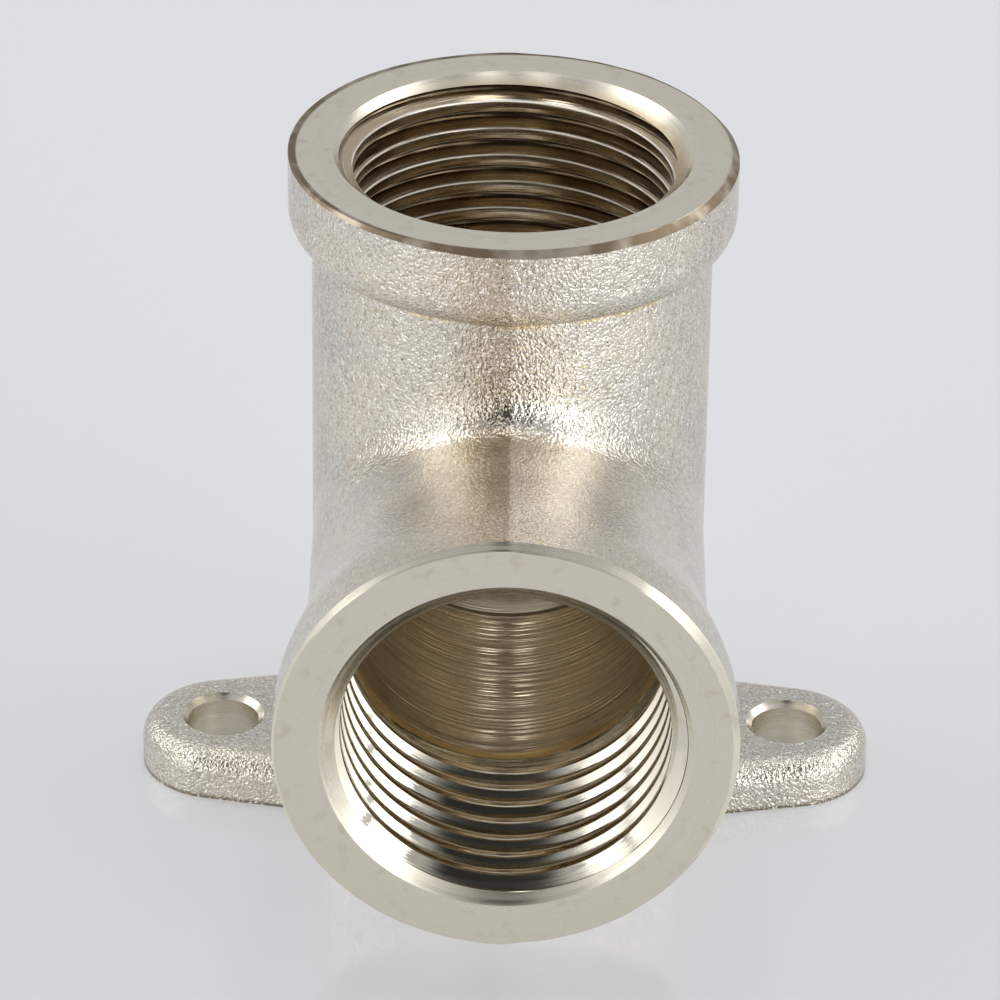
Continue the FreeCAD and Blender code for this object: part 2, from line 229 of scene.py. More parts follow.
class ElbowFinish(bpy.types.PropertyGroup):
    """Colours and grain of the plated surfaces, with their painted glints, light and shade."""

    nickel: colour("Nickel", "Colour of the plate on machined metal", (0.77, 0.72, 0.605))
    skin: colour("Skin", "Colour of the plate on the blasted skin", (0.74, 0.675, 0.575))
    cool: colour("Cool Skin", "Colour of the plate on the skin where it is greyer", (0.65, 0.625, 0.56))
    shade: colour("Shade", "Colour of the plate where it is thinner", (0.62, 0.53, 0.405))
    # Painted glint: the colour of the grains' bright tops, of the bright lines and edges in the outlet's
    # thread, and of the painted light beside the ridge
    painted_glint: colour("Glint", "Colour of the grains' bright tops", (0.97, 0.93, 0.86))
    # Painted shade in the hollows between the grains, and the colour of the dark tool lines in the bores
    hollow_shade_and_line: colour("Hollow", "Colour of the dark hollows between the grains", (0.34, 0.285, 0.21))
    # Worn edge is also the colour of the painted shade in the outlet thread's roots and round the foot of the
    # wall face
    edge: colour("Worn Edge", "Colour of worn edges and dark lines in the metal", (0.21, 0.16, 0.105))
    brass: colour("Brass", "Colour of the brass that shows at edges and specks", (0.80, 0.57, 0.24))
    pit: colour("Pit", "Colour of the small dark pits", (0.10, 0.085, 0.06))
    bore: colour("Bore", "Colour of the plated metal in the bores", (0.66, 0.555, 0.40))
    # Painted shade: the outlet's thread is a darker brown than the nickel for the shade inside the deep
    # socket; the outlet mouth's stain has this colour too
    brown: colour("Brown Thread", "Colour of the metal in the outlet's thread", (0.54, 0.445, 0.31))
    grain_size: length("Grain Size", "Width of one grain of the blasted skin", 0.18 * MM)
    grain_depth: length("Grain Depth", "Depth of the blasted grain", 0.108 * MM)
    # How strongly glints are painted on the grains' tops
    painted_glint_share: share("Glint Share", "How strongly the grains' tops are tinted", 0.75)
    # How strongly shade is painted in those hollows
    hollow_shade_share: share("Hollow Share", "How strongly the hollows between the grains are tinted", 0.5)
    speck_spacing: length("Speck Spacing", "Distance between the places of brass specks", 1.4 * MM)
    speck_size: length("Speck Size", "Radius of a brass speck", 0.09 * MM)
    speck_share: share("Speck Share", "Share of those places that have a speck", 0.35)
    pit_spacing: length("Pit Spacing", "Distance between the places of dark pits", 1.1 * MM)
    pit_size: length("Pit Size", "Radius of a dark pit", 0.06 * MM)
    pit_share: share("Pit Share", "Share of those places that have a pit", 0.25)
    skin_gloss: share("Skin Roughness", "Roughness of the blasted skin between its grains", 0.18)
    gloss_swing: share("Gloss Swing", "How far that roughness goes up and down", 0.06)
    gloss_patch: length("Gloss Patch", "Width of the patches in which it does", 1.5 * MM)
    face_gloss: share("Face Roughness", "Roughness of the machined faces", 0.26)
    thread_gloss: share("Thread Roughness", "Roughness of the threads", 0.09)
    bore_gloss: share("Bore Roughness", "Roughness of the bores", 0.18)
    worn_gloss: share("Worn Roughness", "Roughness of worn edges", 0.45)
    ring_width: length("Ring Width", "Width of one tool mark on faces and threads", 0.13 * MM)
    bore_width: length("Bore Ring Width", "Width of one tool mark in the bores", 0.30 * MM)
    face_ring: length("Face Ring", "Depth of the tool marks on the faces", 0.003 * MM)
    thread_ring: length("Thread Ring", "Depth of the tool marks on the threads", 0.003 * MM)
    bore_ring: length("Bore Ring", "Depth of the tool marks in the bores", 0.32 * MM)
    hole_ring: length("Hole Ring", "Depth of the drill marks in the ear holes", 0.02 * MM)
    face_line: share("Face Line", "How dark the finest tool marks are on faces and clean threads", 0.2)
    bore_line: share("Bore Line", "How dark the finest tool marks are in the bores", 0.7)
    # How brightly glints are painted on the finest tool marks in the outlet's thread
    thread_glint_line: share("Thread Line", "How bright the finest tool marks are in the brown thread", 0.85)
    # The brown band left of the ridge is partly thinner plate and partly painted shade
    shade_band_width: length("Band Width", "Width of the smooth brown band left of the parting ridge", 4.4 * MM)
    shade_band_tint: share("Band Tint", "How strongly that band is tinted", 0.6)
    # The paler band right of the ridge on the branch is a painted pool of light
    painted_light_width: length("Pale Width", "Width of the paler band right of the ridge on the branch", 6.6 * MM)
    painted_light_tint: share("Pale Tint", "How strongly that band is tinted", 0.45)
    branch_grain: share("Branch Grain", "Depth of the grain on the branch beside that on the stem", 0.5)
    branch_start: length("Branch Start", "Distance from the outlet axis where that grain starts", 11.0 * MM)
    branch_full: length("Branch Full", "Distance from the outlet axis where it is full", 13.5 * MM)
    crease_top: length("Crease Top", "Height of the crease over the branch, where that grain ends", 33.5 * MM)
    crease_foot: length("Crease Foot", "Height below the crease up to which it is full", 31.5 * MM)
    foot_height: length("Foot Height", "Height of the outlet collar's foot, where brass shows", 37.4 * MM)
    foot_width: length("Foot Width", "Width of the brass tint along that foot", 0.4 * MM)
    foot_patch: length("Foot Patch", "Width of the patches in which the brass shows", 2.5 * MM)
    foot_tint: share("Foot Tint", "How strongly the brass shows", 0.8)
    # The brown edge round the wall face is painted contact shade
    base_shade_height: length("Base Edge", "Height of the brown edge round the wall face", 0.35 * MM)
    base_shade_tint: share("Base Tint", "How strongly that edge is tinted", 0.8)


class ElbowStage(bpy.types.PropertyGroup):
    """Floor, room, lamps and camera."""

    floor_colour: colour("Floor", "Colour of the table", (0.46, 0.462, 0.47))
    floor_glow: colour("Floor Glow", "Light that comes through the table from below", (0.26, 0.263, 0.273))
    floor_radius: length("Floor Radius", "Radius of the round table", 1.5)
    floor_gloss: share("Floor Roughness", "Roughness of the table's gloss", 0.03)
    floor_mirror: share("Floor Mirror", "Strength of the table's mirror image", 0.7)
    room_colour: colour("Room", "Colour of the room's light", (0.97, 0.98, 1.0))
    back_light: amount("Back Light", "Strength of the light from the room's far side", 0.60)
    front_light: amount("Front Light", "Strength of the light from the room's near side", 0.48)
    gap_light: amount("Gap Light", "Strength of the room's light behind the camera and overhead", 0.03)
    gap_inner: angle("Gap Inner", "How far the dark gap behind the camera reaches to each side", 13)
    gap_outer: angle("Gap Outer", "Where the room is bright again beside the gap", 24)
    gap_low: angle("Gap Low", "Height above the horizon at which the gap starts", 3)
    gap_full: angle("Gap Full", "Height above the horizon at which the gap is full", 11)
    zenith_inner: angle("Zenith Inner", "How far the dark spot overhead reaches", 12)
    zenith_outer: angle("Zenith Outer", "Where the room is bright again round the dark spot overhead", 32)
    strip_turn: angle("Strip Turn", "How far to each side of the zenith a bright strip runs", 9.5)
    strip_half: angle("Strip Half", "Half the width of each strip", 5)
    strip_light: amount("Strip Light", "Strength of the light from each strip", 3.2)
    side_place: spot("Side Place", "Where the right lamp beside the elbow stands", (0.46, 0.10, 0.38))
    side_size: length("Side Size", "Width and height of each lamp beside the elbow", 0.36)
    side_light: amount("Side Lamps", "Power of each lamp beside the elbow in watts", 0.9)
    front_place: spot("Front Place", "Where the right lamp in front stands", (0.45, -0.42, 0.18))
    front_width: length("Front Width", "Width of each lamp in front", 0.50)
    front_height: length("Front Height", "Height of each lamp in front", 0.34)
    front_left: amount("Front Left Lamp", "Power of the left lamp in front in watts", 0.7)
    front_right: amount("Front Right Lamp", "Power of the right lamp in front in watts", 1.3)
    camera_place: spot(
        "Camera Place", "Where the camera stands", (-0.74 * MM, -311.94 * MM, 197.9 * MM))
    camera_pitch: angle("Camera Pitch", "How far the camera looks down", 29.86)
    camera_turn: angle("Camera Turn", "How far the camera turns to its left", -0.04)
    camera_roll: angle("Camera Roll", "How far the camera leans to its left", 0.84)
    camera_lens: FloatProperty(
        name="Lens", description="Focal length in millimetres", default=211.1, min=1, unit="CAMERA")


def give(tree, socket, value):
    """Link a socket to another, or set its value."""
    if isinstance(value, bpy.types.NodeSocket):
        tree.links.new(value, socket)
    else:
        socket.default_value = value


def add_node(tree, kind, inputs=(), **settings):
    """Add a shader node, set its options, and give its inputs values or links."""
    node = tree.nodes.new(kind)
    for name, value in settings.items():
        setattr(node, name, value)
    for key, value in dict(inputs).items():
        give(tree, node.inputs[key], value)
    return node


def math_node(tree, operation, *values):
    """The result of one sum on numbers or sockets."""
    return add_node(tree, "ShaderNodeMath", enumerate(values), operation=operation).outputs[0]


def noise_node(tree, vector, size, detail=2.0):
    """Noise whose features are about one size wide."""
    inputs = {"Vector": vector, "Scale": 1 / size, "Detail": detail}
    return add_node(tree, "ShaderNodeTexNoise", inputs).outputs["Fac"]


def stretch(tree, value, low, high, to_low=0.0, to_high=1.0):
    """Map low and high to two other values, smoothly and held at both ends."""
    inputs = {"Value": value, "From Min": low, "From Max": high, "To Min": to_low, "To Max": to_high}
    return add_node(tree, "ShaderNodeMapRange", inputs, interpolation_type="SMOOTHSTEP").outputs["Result"]


def mix_colour(tree, factor, first, second):
    """The first colour at factor 0, and the second at 1."""
    node = add_node(tree, "ShaderNodeMix", {"Factor": factor}, data_type="RGBA")
    colour_sockets = [socket for socket in node.inputs if socket.type == "RGBA"]
    for socket, value in zip(colour_sockets, (first, second)):
        give(tree, socket, value)
    return next(socket for socket in node.outputs if socket.type == "RGBA")


def new_group(name, inputs, outputs):
    """An empty node group with its sockets; returns the tree, its inputs and the outputs to be fed."""
    tree = bpy.data.node_groups.new(name, "ShaderNodeTree")
    for title, kind in inputs.items():
        tree.interface.new_socket(title, in_out="INPUT", socket_type=f"NodeSocket{kind}")
    for title, kind in outputs.items():
        tree.interface.new_socket(title, in_out="OUTPUT", socket_type=f"NodeSocket{kind}")
    return tree, tree.nodes.new("NodeGroupInput").outputs, tree.nodes.new("NodeGroupOutput").inputs


def group_node(tree, group, inputs):
    """Add a node group, give its inputs values or links, and return its outputs."""
    node = tree.nodes.new("ShaderNodeGroup")
    node.node_tree = group
    for key, value in inputs.items():
        give(tree, node.inputs[key], value)
    return node.outputs


def specks_group():
    """Sparse round specks: a mask that is 1 inside a few of the cells' middles."""
    tree, given, made = new_group(
        "specks",
        {"Vector": "Vector", "Spacing": "Float", "Size": "Float", "Share": "Float"},
        {"Mask": "Float"},
    )
    scale = math_node(tree, "DIVIDE", 1.0, given["Spacing"])
    cells = add_node(tree, "ShaderNodeTexVoronoi", {"Vector": given["Vector"], "Scale": scale}).outputs
    chance = add_node(tree, "ShaderNodeSeparateColor", {"Color": cells["Color"]}).outputs["Red"]
    chosen = math_node(tree, "LESS_THAN", chance, given["Share"])
    reach = math_node(tree, "DIVIDE", given["Size"], given["Spacing"])
    ragged = noise_node(tree, given["Vector"], SPECK_RAGGED)
    edge = math_node(tree, "MULTIPLY", reach, math_node(tree, "DIVIDE", ragged, NOISE_MIDDLE))
    inside = math_node(tree, "LESS_THAN", cells["Distance"], edge)
    tree.links.new(math_node(tree, "MULTIPLY", inside, chosen), made["Mask"])
    return tree


def plating_group():
    """Nickel plate that shifts between a warm, a cool and a thin tint."""
    tree, given, made = new_group(
        "plating",
        {"Vector": "Vector", "Plate": "Color", "Cool": "Color", "Shade": "Color"},
        {"Color": "Color"},
    )
    broad = stretch(tree, noise_node(tree, given["Vector"], COOL_PATCH, PATCH_DETAIL), *COOL_RANGE)
    small = noise_node(tree, given["Vector"], THIN_PATCH, PATCH_DETAIL)
    small = stretch(tree, small, *THIN_RANGE, 0.0, THIN_SHARE)
    plate = mix_colour(tree, broad, given["Plate"], given["Cool"])
    tree.links.new(mix_colour(tree, small, plate, given["Shade"]), made["Color"])
    return tree


def grain_group():
    """Fine rounded grain of a blasted skin over slower hollows, with masks of its tops and hollows."""
    tree, given, made = new_group(
        "blast_grain",
        {"Vector": "Vector", "Size": "Float"},
        {"Height": "Float", "Tops": "Float", "Hollows": "Float"},
    )
    scale = math_node(tree, "DIVIDE", 1.0, given["Size"])
    layers = []
    for fineness, weight in GRAIN_LAYERS:
        layer_scale = math_node(tree, "MULTIPLY", scale, fineness)
        inputs = {"Vector": given["Vector"], "Scale": layer_scale, "Detail": 1.0}
        layer = add_node(tree, "ShaderNodeTexNoise", inputs).outputs["Fac"]
        layers.append(math_node(tree, "MULTIPLY", layer, weight))
    fine, middle, slow = layers
    quick = math_node(tree, "ADD", fine, middle)
    tree.links.new(math_node(tree, "ADD", quick, slow), made["Height"])
    tree.links.new(stretch(tree, quick, *TOPS_RANGE), made["Tops"])
    tree.links.new(stretch(tree, quick, *HOLLOWS_RANGE), made["Hollows"])
    return tree


def rings_group():
    """Tool marks that run round the Z axis of the vector, with the radius and the place along that axis."""
    tree, given, made = new_group(
        "tool_rings",
        {"Vector": "Vector", "Width": "Float"},
        {"Height": "Float", "Lines": "Float", "Bands": "Float", "Radius": "Float", "Along": "Float"},
    )
    parts = add_node(tree, "ShaderNodeSeparateXYZ", {"Vector": given["Vector"]}).outputs
    flat = add_node(tree, "ShaderNodeCombineXYZ", {"X": parts["X"], "Y": parts["Y"]}).outputs["Vector"]
    radius = add_node(tree, "ShaderNodeVectorMath", {0: flat}, operation="LENGTH").outputs["Value"]
    turn = math_node(tree, "ARCTAN2", parts["Y"], parts["X"])
    drift = math_node(tree, "MULTIPLY", turn, RING_DRIFT)
    unrolled = {"X": radius, "Y": drift, "Z": parts["Z"]}
    place = add_node(tree, "ShaderNodeCombineXYZ", unrolled).outputs["Vector"]
    scale = math_node(tree, "DIVIDE", 1.0, given["Width"])
    broad_scale = math_node(tree, "MULTIPLY", scale, BAND_FINENESS)
    marks = []
    for fineness in (scale, broad_scale):
        inputs = {"Vector": place, "Scale": fineness, "Detail": 2.0}
        marks.append(add_node(tree, "ShaderNodeTexNoise", inputs).outputs["Fac"])
    fine, broad = marks
    tree.links.new(fine, made["Height"])
    tree.links.new(stretch(tree, fine, *LINES_RANGE), made["Lines"])
    tree.links.new(stretch(tree, broad, *BANDS_RANGE), made["Bands"])
    tree.links.new(radius, made["Radius"])
    tree.links.new(parts["Z"], made["Along"])
    return tree


def new_material(name):
    """A new material; returns it with its tree and its shader."""
    material = bpy.data.materials.new(name)
    material.use_nodes = True
    tree = material.node_tree
    return material, tree, tree.nodes["Principled BSDF"]


def object_place(tree):
    """The point on the piece in the object's own metres."""
    return tree.nodes.new("ShaderNodeTexCoord").outputs["Object"]


def opaque(values):
    """A colour with its alpha."""
    return (*values, 1.0)


def bump(tree, height, distance):
    """A normal that follows a height of up to the distance."""
    inputs = {"Height": height, "Distance": distance, "Strength": 1.0}
    return add_node(tree, "ShaderNodeBump", inputs).outputs["Normal"]


def shade_and_light_beside_ridge(tree, plate, at, on_branch, finish):
    """A brown band left of the parting ridge in front, partly thinner plate and partly painted shade, and a
    paler band right of it on the branch, which is painted light.
    """
    wide = finish.shade_band_width
    # Painted shade, partly thinner plate: a brown band left of the ridge in front
    brown = stretch(tree, at["X"], -wide, -CORE * wide, 0.0, finish.shade_band_tint)
    for axis in "XY":
        brown = math_node(tree, "MULTIPLY", brown, math_node(tree, "LESS_THAN", at[axis], 0.0))
    plate = mix_colour(tree, brown, plate, opaque(finish.shade))
    wide = finish.painted_light_width
    # Painted light: a paler band right of the ridge on the branch
    painted_light = stretch(tree, at["X"], wide, CORE * wide, 0.0, finish.painted_light_tint)
    painted_light = math_node(tree, "MULTIPLY", painted_light, math_node(tree, "GREATER_THAN", at["X"], 0.0))
    return mix_colour(tree, math_node(tree, "MULTIPLY", painted_light, on_branch), plate, opaque(finish.painted_glint))


def brass_foot_and_base_shade(tree, plate, at, place, finish):
    """Brass in patches along the foot of the outlet's collar, and painted contact shade in dark brown round
    the foot of the wall face.
    """
    patches = stretch(tree, noise_node(tree, place, finish.foot_patch), *FOOT_RANGE)
    from_foot = math_node(tree, "ABSOLUTE", math_node(tree, "SUBTRACT", at["Z"], finish.foot_height))
    foot = stretch(tree, from_foot, finish.foot_width, 0.0, 0.0, finish.foot_tint)
    plate = mix_colour(tree, math_node(tree, "MULTIPLY", foot, patches), plate, opaque(finish.brass))
    # Painted contact shade: a dark brown edge round the foot of the wall face
    painted_base_shade = stretch(tree, at["Z"], finish.base_shade_height, CORE * finish.base_shade_height, 0.0, finish.base_shade_tint)
    return mix_colour(tree, painted_base_shade, plate, opaque(finish.edge))


def blasted_nickel(finish, groups):
    """The forged skin: blasted, then plated, with brass specks and dark pits, glints painted on its grains'
    tops and shade in their hollows, painted shade and light beside the ridge, and painted contact shade round
    the wall face.
    """
    material, tree, shader = new_material("blasted_nickel")
    shader.inputs["Metallic"].default_value = 1.0
    place = object_place(tree)
    at = add_node(tree, "ShaderNodeSeparateXYZ", {"Vector": place}).outputs
    in_front = stretch(tree, at["Y"], -finish.branch_start, -finish.branch_full)
    below_crease = stretch(tree, at["Z"], finish.crease_top, finish.crease_foot)
    on_branch = math_node(tree, "MULTIPLY", in_front, below_crease)
    tints = {"Plate": opaque(finish.skin), "Cool": opaque(finish.cool), "Shade": opaque(finish.shade)}
    plate = group_node(tree, groups["plating"], {"Vector": place, **tints})["Color"]
    plate = shade_and_light_beside_ridge(tree, plate, at, on_branch, finish)
    plate = brass_foot_and_base_shade(tree, plate, at, place, finish)

    grain = group_node(tree, groups["grain"], {"Vector": place, "Size": finish.grain_size})
    calm = stretch(tree, on_branch, 0.0, 1.0, 1.0, finish.branch_grain)
    # Glints painted on the grains' tops, and shade painted in the hollows between them
    for mask, strength, tint in (
        ("Tops", finish.painted_glint_share, finish.painted_glint),
        ("Hollows", finish.hollow_shade_share, finish.hollow_shade_and_line),
    ):
        tinted = math_node(tree, "MULTIPLY", grain[mask], math_node(tree, "MULTIPLY", calm, strength))
        plate = mix_colour(tree, tinted, plate, opaque(tint))
    for spacing, size, chance, tint in (
        (finish.speck_spacing, finish.speck_size, finish.speck_share, finish.brass),
        (finish.pit_spacing, finish.pit_size, finish.pit_share, finish.pit),
    ):
        spots = {"Vector": place, "Spacing": spacing, "Size": size, "Share": chance}
        mask = group_node(tree, groups["specks"], spots)["Mask"]
        plate = mix_colour(tree, mask, plate, opaque(tint))
    tree.links.new(plate, shader.inputs["Base Color"])

    height = math_node(tree, "MULTIPLY", grain["Height"], calm)
    tree.links.new(bump(tree, height, finish.grain_depth), shader.inputs["Normal"])
    smoothest = finish.skin_gloss - finish.gloss_swing
    roughest = finish.skin_gloss + finish.gloss_swing
    rough = stretch(tree, noise_node(tree, place, finish.gloss_patch), *GLOSS_RANGE, smoothest, roughest)
    tree.links.new(rough, shader.inputs["Roughness"])
    return material


def turned_nickel(name, finish, groups, socket_frame, metal, zones=(), across=1.0):
    """Machined nickel with tool rings round one axis, and with tinted zones where it is worn or stained and
    where shade and glints are painted.

    Without any share across, the rings follow the axis alone.
    """
    material, tree, shader = new_material(name)
    shader.inputs["Metallic"].default_value = 1.0
    place = object_place(tree)
    to_socket = socket_frame.inverted()
    turned = {"Vector": place, "Location": to_socket.to_translation(), "Rotation": to_socket.to_euler()}
    round_axis = add_node(tree, "ShaderNodeMapping", turned).outputs["Vector"]
    narrowed = {"Vector": round_axis, "Scale": (across, across, 1.0)}
    round_axis = add_node(tree, "ShaderNodeMapping", narrowed).outputs["Vector"]
    rings = group_node(tree, groups["rings"], {"Vector": round_axis, "Width": metal.ring_width})

    tints = {"Plate": opaque(metal.plate), "Cool": opaque(metal.plate), "Shade": opaque(finish.shade)}
    tint = group_node(tree, groups["plating"], {"Vector": place, **tints})["Color"]
    lines = math_node(tree, "MULTIPLY", rings["Lines"], metal.line_share)
    tint = mix_colour(tree, lines, tint, opaque(metal.line_colour))
    rough = stretch(tree, rings["Bands"], 0.0, 1.0, metal.gloss - BAND_SMOOTHER, metal.gloss + BAND_ROUGHER)
    patches = stretch(tree, noise_node(tree, place, WEAR_PATCH), *WEAR_RANGE, WEAR_LEAST, 1.0)
    for zone in zones:
        inside = stretch(tree, rings[zone.measure], zone.start, zone.full)
        wear = math_node(tree, "MULTIPLY", inside, patches)
        tint = mix_colour(tree, wear, tint, opaque(zone.colour))
        rough = stretch(tree, wear, 0.0, 1.0, rough, zone.gloss)
    tree.links.new(tint, shader.inputs["Base Color"])
    tree.links.new(rough, shader.inputs["Roughness"])
    tree.links.new(bump(tree, rings["Height"], metal.ring_depth), shader.inputs["Normal"])
    return material


def outlet_zones(form, finish):
    """Worn and stained zones of the outlet's face and bore, and painted shade and glints in its thread."""
    dull, smooth = finish.worn_gloss, finish.bore_gloss
    rim, root, bore = form.rim_radius, form.root_radius, BORE_RADIUS
    rim_start, rim_full = (rim - widths * form.facet_width for widths in RIM_WEAR)
    worn_rim = Zone("Radius", rim_start, rim_full, finish.edge, dull)
    mouth = Zone("Radius", form.mouth_radius - MOUTH_STAIN[0], bore + MOUTH_STAIN[1], finish.brown, dull)
    # Painted shade in the thread's roots
    painted_root_shade = Zone("Radius", root - ROOT_SHADE[0], root - ROOT_SHADE[1], finish.edge, smooth)
    # Painted glints on the crest edges
    painted_edge_glint = Zone("Radius", bore + PAINTED_EDGE_GLINT[0], bore + PAINTED_EDGE_GLINT[1], finish.painted_glint, dull)
    # The lands keep the thread's darker brown, its painted shade
    shaded_land = Zone("Radius", bore + LAND_SHADE[0], bore + LAND_SHADE[1], finish.brown, smooth)
    return {
        "face": (worn_rim, mouth),
        "thread": (painted_root_shade, painted_edge_glint, shaded_land),
        "bore": (brass_lip(form.outlet_thread, finish),),
    }


def inlet_zones(form, finish):
    """Stained zones of the inlet's bore."""
    stop = -form.drill_stop
    dull = finish.worn_gloss
    drill_line = Zone("Along", stop - DRILL_LINE[0], stop - DRILL_LINE[1], finish.edge, dull)
    drill_end = Zone("Along", stop - DRILL_END[0], stop - DRILL_END[1], finish.nickel, dull)
    return {"face": (), "thread": (), "bore": (brass_lip(form.inlet_thread, finish), drill_line, drill_end)}


def brass_lip(depth, finish):
    """Brass that shows in the bore just past a thread's inner end."""
    return Zone("Along", -depth - LIP_STAIN[0], -depth - LIP_STAIN[1], finish.brass, finish.worn_gloss)


def elbow_materials(form, finish):
    """The finishes in the order of their places in the piece's list."""
    groups = {
        "plating": plating_group(),
        "specks": specks_group(),
        "grain": grain_group(),
        "rings": rings_group(),
    }
    fine, coarse = finish.ring_width, finish.bore_width
    plain_line = (finish.shade, finish.face_line)
    # Glints painted on the outlet thread's finest tool marks
    painted_glint_line = (finish.painted_glint, finish.thread_glint_line)
    dark_line = (finish.hollow_shade_and_line, finish.bore_line)
    drilled = Metal(finish.nickel, finish.face_gloss, fine, finish.hole_ring, *plain_line)
    faced = Metal(finish.nickel, finish.face_gloss, fine, finish.face_ring, *plain_line)
    clean_thread = Metal(finish.nickel, finish.thread_gloss, fine, finish.thread_ring, *plain_line)
    # The outlet's thread in a darker brown, painted shade of the deep socket
    shaded_brown_thread = Metal(finish.brown, finish.bore_gloss, fine, finish.hole_ring, *painted_glint_line)
    bored = Metal(finish.bore, finish.bore_gloss, coarse, finish.bore_ring, *dark_line)
    made = [
        blasted_nickel(finish, groups),
        turned_nickel("ear_hole", finish, groups, Matrix(), drilled, across=0.0),
    ]
    for socket, at, thread, zones in (
        ("outlet", OUTLET_FRAME, shaded_brown_thread, outlet_zones(form, finish)),
        ("inlet", INLET_FRAME, clean_thread, inlet_zones(form, finish)),
    ):
        for part, metal in (("face", faced), ("thread", thread), ("bore", bored)):
            made.append(turned_nickel(f"{socket}_{part}", finish, groups, at, metal, zones[part]))
    return made


def merged_copy(node):
    """A bmesh of the CAD node with its loose triangles joined."""
    bm = bmesh.new()
    bm.from_mesh(frame["nodes"][node].data)
    bmesh.ops.remove_doubles(bm, verts=bm.verts, dist=HAIR)
    return bm


def drilled_away(point, form, socket_frame, bore_length):
    """True on a socket's bore, mouth, face and rim edge."""
    local = socket_frame.inverted() @ point
    radius = math.hypot(local.x, local.y)
    near_face = local.z > -form.rim_break - FIT
    bore_end = form.mouth_depth + bore_length
    past_end = max(-local.z - bore_end, 0)
    limit = BORE_RADIUS - past_end * math.tan(form.drill_angle / 2)
    if past_end == 0:
        limit = form.mouth_radius
    return near_face or radius < limit + FIT


def strip_sockets(bm, form):
    """Leave only the forged skin and the ear holes of the solid's copy."""
    inner = {
        vert
        for vert in bm.verts
        if drilled_away(vert.co, form, OUTLET_FRAME, OUTLET_BORE_LENGTH)
        or drilled_away(vert.co, form, INLET_FRAME, INLET_BORE_LENGTH)
    }
    gone = [face for face in bm.faces if all(vert in inner for vert in face.verts)]
    bmesh.ops.delete(bm, geom=gone, context="FACES")


def in_ear_hole(face):
    """True on the wall and the broken edge of an ear hole."""
    centre = face.calc_center_median()
    from_hole = math.hypot(abs(centre.x) - HOLE_REACH, centre.y)
    return from_hole < HOLE_RADIUS + HOLE_BREAK and abs(face.normal.z) < FLAT


def raise_parting_ridge(bm, form):
    """A low ridge where the two forging dies met, in the plane of both sockets."""
    low, high = -form.ridge_left, form.ridge_right
    cuts = [low * part for part in RIDGE_LEFT_CUTS] + [high * part for part in RIDGE_RIGHT_CUTS]
    for x in cuts:
        everything = bm.verts[:] + bm.edges[:] + bm.faces[:]
        bmesh.ops.bisect_plane(bm, geom=everything, plane_co=(x, 0, 0), plane_no=(1, 0, 0), dist=HAIR)
    bm.normal_update()
    moves = {}
    for vert in bm.verts:
        x = vert.co.x
        if low < x < high and vert.co.z > WALL_FACE:
            rise = 1 - x / low if x < 0 else (1 - x / high) ** 2
            moves[vert] = vert.normal * form.ridge_height * rise
    for vert, move in moves.items():
        vert.co += move


def close_rim(bm, form, socket_frame, widest, finish_index):
    """Cut an uneven facet round an open rim, and close it with a flat face."""
    to_socket = socket_frame.inverted()
    rim = [
        edge for edge in bm.edges
        if edge.is_boundary and all((to_socket @ vert.co).z > -2 * form.rim_break for vert in edge.verts)
    ]
    made = bmesh.ops.extrude_edge_only(bm, edges=rim)["geom"]
    inner = {item for item in made if isinstance(item, bmesh.types.BMVert)}
    outer = {vert for edge in rim for vert in edge.verts}
    for vert in inner | outer:
        local = to_socket @ vert.co
        turn = math.atan2(local.y, local.x)
        width = form.facet_width * (1 + form.facet_swing * math.cos(turn - widest))
        nick = form.facet_nick * noise.noise(local / form.nick_length)
        width = max(width + nick, form.facet_least)
        if vert in inner:
            local.xy *= 1 - width / local.xy.length
            local.z = 0
        else:
            local.z = -width
        vert.co = socket_frame @ local
    top = [item for item in made if isinstance(item, bmesh.types.BMEdge) and item.is_boundary]
    caps = bmesh.ops.holes_fill(bm, edges=top, sides=0)["faces"]
    facets = [item for item in made if isinstance(item, bmesh.types.BMFace)]
    for face in caps + facets:
        face.material_index = finish_index


def new_object(name, bm):
    """An object in the scene, with its mesh from a bmesh that is then freed."""
    mesh = bpy.data.meshes.new(name)
    bm.to_mesh(mesh)
    bm.free()
    made = bpy.data.objects.new(name, mesh)
    bpy.context.scene.collection.objects.link(made)
    return made


def thread_section(form):
    """One pitch of the thread as radius and place along the axis, crest to crest."""
    slope = math.tan(form.flank_angle / 2)
    half = form.root_land + (form.root_radius - BORE_RADIUS) * slope
    edge = form.crest_break
    rising = [
        (BORE_RADIUS, -form.pitch / 2),
        (BORE_RADIUS, -half - edge / 2),
        (BORE_RADIUS + edge / 2, -half + edge / 2),
        (form.root_radius - edge, -form.root_land - edge * slope),
        (form.root_radius, -form.root_land / 2),
    ]
    return rising + [(radius, -along) for radius, along in reversed(rising)]


